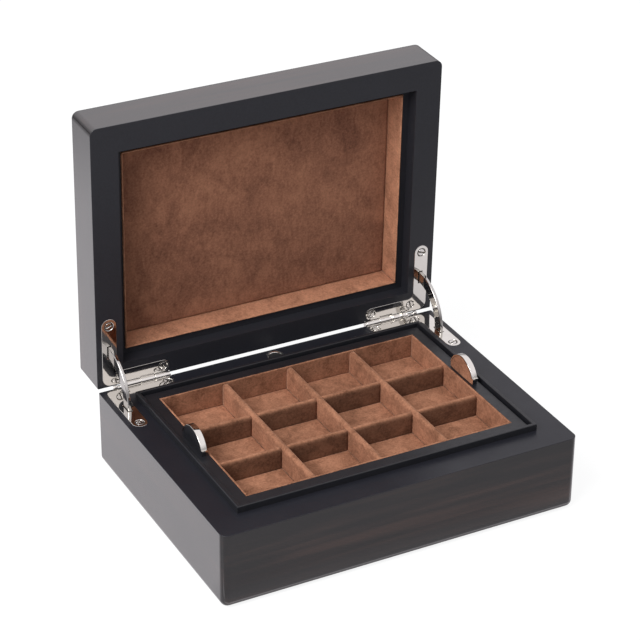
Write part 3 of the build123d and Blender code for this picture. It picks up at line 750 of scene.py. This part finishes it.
def stay_outline():
    """The quadrant: two arcs about the pin, joined at each end by a rounded edge."""
    r = STAY_END_RADIUS
    far = STAY_OUTER - r
    near = STAY_INNER + r
    far_turn = math.degrees(math.asin(r / far))
    near_turn = math.degrees(math.asin(r / near))

    def at(radius, angle):
        return (radius * math.cos(math.radians(angle)), radius * math.sin(math.radians(angle)))

    first, last = STAY_FIRST, STAY_LAST
    points = arc((0, 0), STAY_OUTER, first + far_turn, last - far_turn, 60)
    points += arc(at(far, last - far_turn), r, last - far_turn, last + 90, 8)[1:]
    points += arc(at(near, last - near_turn), r, last + 90, last + 180 - near_turn, 8)
    points += arc((0, 0), STAY_INNER, last - near_turn, first + near_turn, 50)[1:]
    points += arc(at(near, first + near_turn), r, first + 180 + near_turn, first + 270, 8)[1:]
    points += arc(at(far, first + far_turn), r, first - 90, first + far_turn, 8)[:-1]
    return points


for hand, sign in HANDS:
    turned = handed(sign)
    nickel_pieces = (
        ("hinge_base_leaf", leaf_meshes(BASE_KNUCKLES, turned), "base", "base_hinge_leaf"),
        ("hinge_lid_leaf", leaf_meshes(LID_KNUCKLES, TO_LID @ turned), "lid", "lid_hinge_leaf"),
        ("barrel_pin", [pin_mesh(turned)], "base", "hinge_pin"),
    )
    for name, meshes, body, node in nickel_pieces:
        joined(f"{name}_{hand}", meshes, polished_nickel, body, f"{node}_{hand}")
    stay_place = turned @ side_on(LEAF_SIDE_X - STAY_THICKNESS / 2, PIN.y, PIN.z)
    stay = plate(stay_outline(), [], 0, STAY_THICKNESS, STAY_BEVEL, stay_place, steps=5)
    joined(f"quadrant_stay_{hand}", [stay], shaded_stay_nickel, f"stay_{hand}", f"stay_{hand}")


def screws(name, place, body, node):
    """The six screws of a body; their cones and slot floors are dark, painted shade in the slots and in the
    ring round each head.
    """
    heads, shanks = [], []
    for hand, sign in HANDS:
        more_heads, more_shanks = screw_meshes(place @ handed(sign))
        heads += more_heads
        shanks += more_shanks
    bright = sum(len(mesh.polygons) for mesh in heads)
    made = joined(name, heads + shanks, screw_nickel, body, node)
    made.data.materials.append(shaded_screw_nickel)
    for face in made.data.polygons[bright:]:
        face.material_index = 1


screws("base_screws", Matrix(), "base", "base_leaf_screws")
screws("lid_screws", TO_LID, "lid", "lid_leaf_screws")


def stud_ring():
    """The stud's ring: a bevel round its mouth, and a floor that slopes in to the dark core."""
    low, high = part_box("rim_stud_ring")
    centre = (low + high) / 2
    top = high.z - low.z
    profile = (
        (STUD_INNER, 0),
        (STUD_RADIUS, 0),
        (STUD_RADIUS, top - STUD_EDGE),
        (STUD_RADIUS - STUD_EDGE, top),
        (STUD_RADIUS - STUD_FLAT, top),
        (STUD_RADIUS - STUD_MOUTH, top - STUD_MOUTH_DROP),
        (STUD_INNER, top - STUD_FLOOR_DROP),
        (STUD_INNER, 0),
    )
    return lathe(profile, Matrix.Translation((centre.x, centre.y, low.z)), 64)


joined("stud_ring", [stud_ring()], polished_nickel, "base", "rim_stud_ring")


# Pulls

def arch_foot(radius):
    """Angle at which an arch of this radius reaches its foot, in degrees."""
    return math.degrees(math.asin((ARCH_Z - ARCH_CENTRE_Z) / radius))


def tab_outline():
    """The pull side on: a root in the frame, a straight foot and the arch."""
    radius = ARCH_RADIUS - STRIP_THICKNESS
    foot = arch_foot(radius)
    front, back = PULL_Y - PULL_HALF, PULL_Y + PULL_HALF
    root0, root1 = PULL_Y - PULL_ROOT_HALF, PULL_Y + PULL_ROOT_HALF
    points = [(root0, PULL_ROOT_Z), (root1, PULL_ROOT_Z), (root1, TRAY_TOP)]
    points += [(back, TRAY_TOP), (back, ARCH_Z)]
    points += arc((PULL_Y, ARCH_CENTRE_Z), radius, foot, 180 - foot, 40)
    points += [(front, ARCH_Z), (front, TRAY_TOP), (root0, TRAY_TOP)]
    return points


def strip_outline():
    """The strip side on: an arch with a short lip at its front foot."""
    inner = ARCH_RADIUS - STRIP_THICKNESS
    foot = arch_foot(ARCH_RADIUS)
    inner_foot = arch_foot(inner)
    lip = math.degrees(math.asin((STRIP_LIP_TOP - ARCH_CENTRE_Z) / ARCH_RADIUS))
    front = PULL_Y - PULL_HALF - STRIP_LIP
    points = arc((PULL_Y, ARCH_CENTRE_Z), ARCH_RADIUS, foot, 180 - lip, 60)
    points += [(front, STRIP_LIP_TOP), (front, ARCH_Z)]
    points += arc((PULL_Y, ARCH_CENTRE_Z), inner, 180 - inner_foot, inner_foot, 60)
    return points


def nail_meshes(place):
    """Two round-headed nails through the right-hand strip."""
    shoulder = NAIL_LENGTH - NAIL_DOME
    profile = [(0, 0), (NAIL_RADIUS, 0), (NAIL_RADIUS, shoulder)]
    for turn in (30, 60):
        angle = math.radians(turn)
        profile.append((NAIL_RADIUS * math.cos(angle), shoulder + NAIL_DOME * math.sin(angle)))
    profile.append((0, NAIL_LENGTH))
    centre = Matrix.Translation((PULL_INNER + PULL_THICKNESS / 2, PULL_Y, ARCH_CENTRE_Z))
    foot = ARCH_RADIUS + NAIL_PROUD - NAIL_LENGTH
    meshes = []
    for lean in (NAIL_ANGLE, -NAIL_ANGLE):
        turn = Matrix.Rotation(math.radians(lean), 4, "X")
        meshes.append(lathe(profile, place @ centre @ turn @ Matrix.Translation((0, 0, foot)), 20))
    return meshes


def faced(piece, material, sign):
    """Cover the pull's face towards the compartments with another material."""
    piece.data.materials.append(material)
    for face in piece.data.polygons:
        if face.normal.x * sign < -0.5:
            face.material_index = 1


for hand, sign in HANDS:
    turned = handed(sign)
    tab = plate(tab_outline(), [], 0, PULL_THICKNESS, PULL_BEVEL, turned @ side_on(PULL_INNER))
    pull = joined(f"pull_tab_{hand}", [tab], black_cover, "tray", f"pull_{hand}")
    faced(pull, brown_suede, sign)
    strip_x = PULL_INNER - STRIP_OVERHANG
    strip_width = PULL_THICKNESS + 2 * STRIP_OVERHANG
    strip = plate(strip_outline(), [], 0, strip_width, STRIP_BEVEL, turned @ side_on(strip_x))
    joined(f"pull_edge_{hand}", [strip], polished_nickel, "tray", f"pull_strip_{hand}")
joined(
    "pull_nails", nail_meshes(handed(1)) + nail_meshes(handed(-1)), polished_nickel,
    "tray", "pull_strip_nails",
)


# Helpers for suede-covered boards and pads

ROLL_STEPS = 4
WRAP_CELL = 0.0015
WRAP_PUSH = 0.00007
# Waves per metre in the unevenness of the boards and of the pads
COARSE_WAVES = 190
FINE_WAVES = 520
PAD_WAVES = 160

# The vector noise draws its offsets at random, so a seed keeps the boards the same in each run.
NAP_SEED = 7
noise.seed_set(NAP_SEED)


def rolled_places(low, high, roll_low, roll_high, cell):
    """Grid places from low to high, closer together where an edge is rolled."""
    curve = [math.tan(math.radians(45 * k / ROLL_STEPS)) for k in range(ROLL_STEPS + 1)]
    start, stop = low + roll_low, high - roll_high
    count = max(1, round((stop - start) / cell))
    places = [start - roll_low * t for t in reversed(curve[1:])] if roll_low else []
    places += [start + (stop - start) * k / count for k in range(count + 1)]
    places += [stop + roll_high * t for t in curve[1:]] if roll_high else []
    return places


def soft_block(bm, low, high, roll, square, cell, push):
    """A board wrapped in suede: rolled edges, except at the faces named square, and uneven faces."""
    names = ("x", "y", "z")
    near = [0.0 if f"-{name}" in square else roll for name in names]
    far = [0.0 if f"+{name}" in square else roll for name in names]
    grid = [rolled_places(low[k], high[k], near[k], far[k], cell) for k in range(3)]
    made = {}

    def vert(key):
        if key not in made:
            spot = Vector([grid[k][key[k]] for k in range(3)])
            core = Vector([min(max(spot[k], low[k] + near[k]), high[k] - far[k]) for k in range(3)])
            out = spot - core
            if out.length > 1e-9:
                spot = core + out * max(abs(c) for c in out) / out.length
            coarse = noise.noise_vector(spot * COARSE_WAVES)
            fine = noise.noise_vector(spot * FINE_WAVES)
            made[key] = bm.verts.new(spot + (coarse * 0.6 + fine * 0.4) * push)
        return made[key]

    for axis in range(3):
        u, v = (axis + 1) % 3, (axis + 2) % 3
        for end in (0, len(grid[axis]) - 1):
            for i in range(len(grid[u]) - 1):
                for j in range(len(grid[v]) - 1):
                    corners = []
                    for di, dj in ((0, 0), (1, 0), (1, 1), (0, 1)):
                        key = [end, end, end]
                        key[u], key[v] = i + di, j + dj
                        corners.append(vert(tuple(key)))
                    bm.faces.new(corners if end else reversed(corners))


def wrapped(
    name, blocks, body, node, roll, cell=WRAP_CELL, push=WRAP_PUSH, place=Matrix(), cover=brown_suede,
):
    """One object of one or more suede-covered boards that stands for a CAD node."""
    bm = bmesh.new()
    for low, high, square in blocks:
        soft_block(bm, low, high, roll, square, cell, push)
    return joined(name, [shaded(bm, 60, place)], cover, body, node)


def cushion(bm, low, high, crown, roll, cell, seed, rough):
    """One pad: a flat underside, drawn-in rolled sides and a crowned top, pushed about a little."""
    nx = max(8, round((high.x - low.x) / cell))
    ny = max(8, round((high.y - low.y) / cell))
    centre = (low + high) / 2
    half = (high - low) / 2
    top = []
    for j in range(ny + 1):
        row = []
        for i in range(nx + 1):
            u = math.sin((i / nx - 0.5) * math.pi)
            v = math.sin((j / ny - 0.5) * math.pi)
            x = centre.x + u * half.x
            y = centre.y + v * half.y
            edge = min(half.x * (1 - abs(u)), half.y * (1 - abs(v)))
            fall = 0.0
            if edge < roll:
                fall = roll * (1 - math.sqrt(max(0.0, 1 - (1 - edge / roll) ** 2)))
            dome = crown * (1 - (1 - u * u) * (1 - v * v))
            push = 0.0
            if edge > roll / 2:
                push = rough * noise.noise(Vector((x * PAD_WAVES + seed, y * PAD_WAVES, 0.3)))
            row.append(bm.verts.new((x, y, high.z - fall - dome + push)))
        top.append(row)
    for j in range(ny):
        for i in range(nx):
            bm.faces.new((top[j][i], top[j][i + 1], top[j + 1][i + 1], top[j + 1][i]))
    ring = [top[0][i] for i in range(nx + 1)]
    ring += [top[j][nx] for j in range(1, ny + 1)]
    ring += [top[ny][i] for i in range(nx - 1, -1, -1)]
    ring += [top[j][0] for j in range(ny - 1, 0, -1)]
    foot = [bm.verts.new((v.co.x, v.co.y, low.z)) for v in ring]
    for k in range(len(ring)):
        n = (k + 1) % len(ring)
        bm.faces.new((ring[n], ring[k], foot[k], foot[n]))
    bm.faces.new(foot)


def pad_piece(
    name, places, material, body, node, crown, roll, cell, rough=0.0001, place=Matrix(),
):
    """One object of one or more pads that stands for a CAD node."""
    bm = bmesh.new()
    for seed, (low, high) in enumerate(places):
        cushion(bm, low, high, crown, roll, cell, seed * 7.3, rough)
    bmesh.ops.recalc_face_normals(bm, faces=bm.faces)
    made = joined(name, [shaded(bm, 60, place)], material, body, node)
    return made


def islands(node):
    """Low and high corner of each separate solid of a CAD node."""
    bm = bmesh.new()
    bm.from_mesh(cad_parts[node].data)
    bmesh.ops.remove_doubles(bm, verts=bm.verts, dist=1e-6)
    seen, found = set(), []
    for start in bm.verts:
        if start in seen:
            continue
        group, stack = [], [start]
        seen.add(start)
        while stack:
            vert = stack.pop()
            group.append(vert.co.copy())
            for edge in vert.link_edges:
                other = edge.other_vert(vert)
                if other not in seen:
                    seen.add(other)
                    stack.append(other)
        low = Vector([min(c[k] for c in group) for k in range(3)])
        high = Vector([max(c[k] for c in group) for k in range(3)])
        found.append((low, high))
    bm.free()
    return sorted(found, key=lambda pair: (round(pair[0].y, 4), pair[0].x))


# Dividers, linings and rests

for number in (1, 2, 3):
    node = f"long_divider_{number}"
    wrapped(f"divider_along_{number}", [(*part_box(node), "-y +y -z")], "tray", node, roll=0.0019)
for row in ("front", "back"):
    for number in (1, 2, 3, 4):
        node = f"cross_divider_{row}_{number}"
        blocks = [(*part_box(node), "-x +x -z")]
        name = f"divider_across_{row}_{number}"
        wrapped(name, blocks, "tray", node, roll=0.0019, cover=front_shaded_divider_suede)

outer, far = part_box("tray_wall_linings")
thickness = Vector((TRAY_LINING, TRAY_LINING, 0))
inner, near = outer + thickness, far - thickness
lining_blocks = [
    (outer, Vector((far.x, inner.y, far.z)), "-x +x -z"),
    (Vector((outer.x, near.y, outer.z)), far, "-x +x -z"),
    (Vector((outer.x, inner.y, outer.z)), Vector((inner.x, near.y, far.z)), "-y +y -z"),
    (Vector((near.x, inner.y, outer.z)), Vector((far.x, near.y, far.z)), "-y +y -z"),
]
wrapped("tray_linings", lining_blocks, "tray", "tray_wall_linings", roll=0.00045, push=0.00009)

for side in SIDES:
    node = f"tray_rest_{side}"
    ends = "-x +x -z" if side in ("front", "back") else "-y +y -z"
    wrapped(f"rest_cover_{side}", [(*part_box(node), ends)], "base", node, roll=0.0006, cell=0.003)


# The lid's suede, modelled in the closed lid and then opened

LINED_X = 0.0889
LINED_FRONT = -0.0614
LINED_BACK = 0.0640
LINING = 0.0008
LINING_Z = 0.0541
PANEL_Z = 0.0717
PANEL_THICKNESS = 0.0034
PANEL_GAP = 0.0002

lid_linings = {
    "front": ((-LINED_X, LINED_FRONT), (LINED_X, LINED_FRONT + LINING), "-x +x +z"),
    "back": ((-LINED_X, LINED_BACK - LINING), (LINED_X, LINED_BACK), "-x +x +z"),
    "left": ((-LINED_X, LINED_FRONT + LINING), (-LINED_X + LINING, LINED_BACK - LINING), "-y +y +z"),
    "right": ((LINED_X - LINING, LINED_FRONT + LINING), (LINED_X, LINED_BACK - LINING), "-y +y +z"),
}
for side, (corner, far_corner, square) in lid_linings.items():
    block = (Vector((*corner, LINING_Z)), Vector((*far_corner, PANEL_Z)), square)
    # The back and right linings face the light, so they get the paler suede as painted light.
    cover = lit_border_suede if side in ("back", "right") else brown_suede
    node = f"lid_{side}_lining"
    name = f"lid_border_{side}"
    wrapped(name, [block], "lid", node, roll=0.00039, push=0.00008, place=OPEN, cover=cover)

panel_low = Vector((-LINED_X + LINING + PANEL_GAP, LINED_FRONT + LINING + PANEL_GAP, PANEL_Z))
panel_high = Vector((-panel_low.x, LINED_BACK - LINING - PANEL_GAP, PANEL_Z + PANEL_THICKNESS))
pad_piece(
    "lid_panel_cover", [(panel_low, panel_high)], panel_suede,
    "lid", "lid_padded_panel", crown=0.0009, roll=0.0011, cell=0.0024,
    rough=0.00016, place=OPEN @ flipped(PANEL_Z),
)


# Pads; those of the compartments reach almost to the dividers beside them

PAD_REACH = Vector((0.00015, 0.00015, 0))
compartments = [(low - PAD_REACH, high + PAD_REACH) for low, high in islands("tray_floor_pads")]
pad_piece(
    "compartment_pads", compartments, brown_suede, "tray", "tray_floor_pads",
    crown=0.0004, roll=0.0003, cell=0.0020,
)
pad_piece(
    "well_pad", islands("well_floor_pad"), brown_suede, "base", "well_floor_pad",
    crown=0.0004, roll=0.0006, cell=0.004,
)
pad_piece(
    "underside_felt", [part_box("base_underside_felt")], black_felt,
    "base", "base_underside_felt", crown=0.0001, roll=0.0004, cell=0.006,
)


# Floor, light and camera

CAMERA_GLOW = 0.88
# Painted reflection: the table's glow is dim in front of the box, brighter beside and behind it, with a
# painted highlight strip before the front and a dimmer glow far out.
FRONT_GLOW = 0.02
SIDE_GLOW = 0.44
GLOW_BLUR = 0.020
FAR_GLOW = 0.25
FAR_START = 0.46
FAR_END = 0.64
FRONT_STRIP = 0.010
FLOOR_HALF = 6.0
TABLE_SHADE = 0.18
MIRRORED_SHADE = 0.37
REFLECTED_TINT = (1.0, 0.965, 1.0)
FILL_TINT = (0.98, 0.99, 1.0)
FILL = 0.55
HORIZON = 0.15
HORIZON_TOP = 0.52
WHITE = (1.0, 1.0, 1.0)
BLACK = (0.0, 0.0, 0.0)


def table_glow(s):
    """Glow of the table, seen only in reflections and painted there: bright beside and behind the box, a
    painted dark patch in front of it, dimmer far out.
    """
    place = s.split(s.coords)
    left = s.math("MULTIPLY", place["X"], -1.0)
    front = s.math("MULTIPLY", place["Y"], -1.0)
    past_side = s.math("MAXIMUM", s.math("SUBTRACT", left, HALF_W), 0.0)
    line = s.math("SUBTRACT", s.math("ADD", place["Y"], HALF_D), past_side)
    glow = s.spread(line, -GLOW_BLUR, GLOW_BLUR, FRONT_GLOW, SIDE_GLOW)

    # A painted highlight: a thin bright strip close before the front, which the box's rounded bottom edge
    # reflects.
    strip = s.ramp(
        s.spread(s.math("SUBTRACT", front, HALF_D), 0.0, FRONT_STRIP),
        (0.10, BLACK),
        (0.17, WHITE),
        (0.28, WHITE),
        (0.36, (0.16, 0.16, 0.16)),
        (0.95, BLACK),
    )
    glow = s.math("MAXIMUM", glow, strip)

    # Painted shadow: the glow is cut off under the box.
    past_x = s.math("SUBTRACT", s.math("ABSOLUTE", place["X"]), HALF_W)
    past_y = s.math("SUBTRACT", s.math("ABSOLUTE", place["Y"]), HALF_D)
    clear = s.spread(s.math("MAXIMUM", past_x, past_y), -0.003, 0.0005)
    away = s.node("ShaderNodeVectorMath", operation="LENGTH")
    s.put(away.inputs[0], s.coords)
    falloff = s.spread(away.outputs["Value"], FAR_START, FAR_END, 1.0, FAR_GLOW)
    return s.math("MULTIPLY", s.math("MULTIPLY", glow, clear), falloff)


def floor_material():
    """Pale floor: diffuse for the light that it sends up, near white where the eye sees it."""
    s = Shader("floor")
    tint = s.mix(s.noise(3.0), (0.86, 0.86, 0.86), (0.88, 0.88, 0.88))
    s.set(Base_Color=tint, Roughness=0.9, Specular_IOR_Level=0.1)
    path = s.node("ShaderNodeLightPath")
    apart = s.math("MAXIMUM", path.outputs["Is Glossy Ray"], path.outputs["Is Transmission Ray"])
    seen = s.math("MAXIMUM", apart, path.outputs["Is Camera Ray"])

    glow = s.node("ShaderNodeEmission")
    s.put(glow.inputs["Color"], s.mix(apart, WHITE, REFLECTED_TINT))
    s.put(glow.inputs["Strength"], s.blend(apart, CAMERA_GLOW, table_glow(s)))
    shade = s.node("ShaderNodeBsdfDiffuse")
    mirrored = tuple(MIRRORED_SHADE * c for c in REFLECTED_TINT)
    s.put(shade.inputs["Color"], s.mix(apart, (TABLE_SHADE, TABLE_SHADE, TABLE_SHADE), mirrored))
    both = s.node("ShaderNodeAddShader")
    s.put(both.inputs[0], glow.outputs[0])
    s.put(both.inputs[1], shade.outputs[0])
    pick = s.node("ShaderNodeMixShader")
    s.put(pick.inputs["Fac"], seen)
    s.put(pick.inputs[1], s.bsdf.outputs["BSDF"])
    s.put(pick.inputs[2], both.outputs[0])
    s.put(s.out.inputs["Surface"], pick.outputs[0])
    return s.material


bm = bmesh.new()
bmesh.ops.create_grid(bm, x_segments=4, y_segments=4, size=FLOOR_HALF)
mesh_object("floor", bm, [floor_material()])


def key_light():
    """A large soft light from the front left."""
    place = Vector((-1.15, -0.45, 1.25))
    aim = Vector((0, 0, 0.06))
    data = bpy.data.lights.new("key", "AREA")
    data.shape = "RECTANGLE"
    data.size = 1.1
    data.size_y = 1.1
    data.energy = 26.0
    lamp = bpy.data.objects.new("key", data)
    lamp.location = place
    lamp.rotation_euler = (aim - place).to_track_quat("-Z", "Y").to_euler()
    bpy.context.scene.collection.objects.link(lamp)


def studio_world():
    """Pale surroundings: white to the eye, and paler with height in reflections and for the fill."""
    world = bpy.data.worlds.new("studio")
    world.use_nodes = True
    tree = world.node_tree
    tree.nodes.clear()
    link = tree.links.new
    path = tree.nodes.new("ShaderNodeLightPath").outputs
    height = tree.nodes.new("ShaderNodeSeparateXYZ")
    link(tree.nodes.new("ShaderNodeTexCoord").outputs["Generated"], height.inputs[0])

    def rising(top, low, high):
        """A strength that rises from the horizon to a height on the unit sphere."""
        made = tree.nodes.new("ShaderNodeMapRange")
        link(height.outputs["Z"], made.inputs["Value"])
        for name, number in (("From Max", top), ("To Min", low), ("To Max", high)):
            made.inputs[name].default_value = number
        return made.outputs["Result"]

    def background(colour, strength=None):
        made = tree.nodes.new("ShaderNodeBackground")
        made.inputs["Color"].default_value = (*colour, 1)
        if strength is not None:
            link(strength, made.inputs["Strength"])
        return made.outputs[0]

    def switch(factor, off, on):
        """One of two backgrounds."""
        made = tree.nodes.new("ShaderNodeMixShader")
        for socket, source in zip(made.inputs, (factor, off, on)):
            link(source, socket)
        return made.outputs[0]

    eye = tree.nodes.new("ShaderNodeMath")
    eye.operation = "MAXIMUM"
    link(path["Is Camera Ray"], eye.inputs[0])
    link(path["Is Transmission Ray"], eye.inputs[1])
    fill = background(FILL_TINT, rising(1.0, 0.30 * FILL, 1.50 * FILL))
    mirrored = background(REFLECTED_TINT, rising(HORIZON_TOP, HORIZON, 1.0))
    unseen = switch(path["Is Glossy Ray"], fill, mirrored)
    picked = switch(eye.outputs[0], unseen, background(WHITE))
    link(picked, tree.nodes.new("ShaderNodeOutputWorld").inputs["Surface"])
    bpy.context.scene.world = world


def photo_camera():
    """The camera, solved from the straight edges of the box in the photograph."""
    data = bpy.data.cameras.new("camera")
    data.lens = 133.473
    data.sensor_width = 36.0
    data.clip_end = 20.0
    camera = bpy.data.objects.new("camera", data)
    right = Vector((0.886401, -0.462840, 0.008564))
    down = Vector((-0.218316, -0.434275, -0.873924))
    ahead = Vector((0.408206, 0.772777, -0.485987))
    place = Vector((-0.54435, -1.01103, 0.74676))
    axes = Matrix((right, -down, -ahead)).transposed()
    camera.matrix_world = Matrix.Translation(place) @ axes.to_4x4()
    bpy.context.scene.collection.objects.link(camera)
    bpy.context.scene.camera = camera


key_light()
studio_world()
photo_camera()
bpy.context.scene.view_settings.view_transform = "Standard"
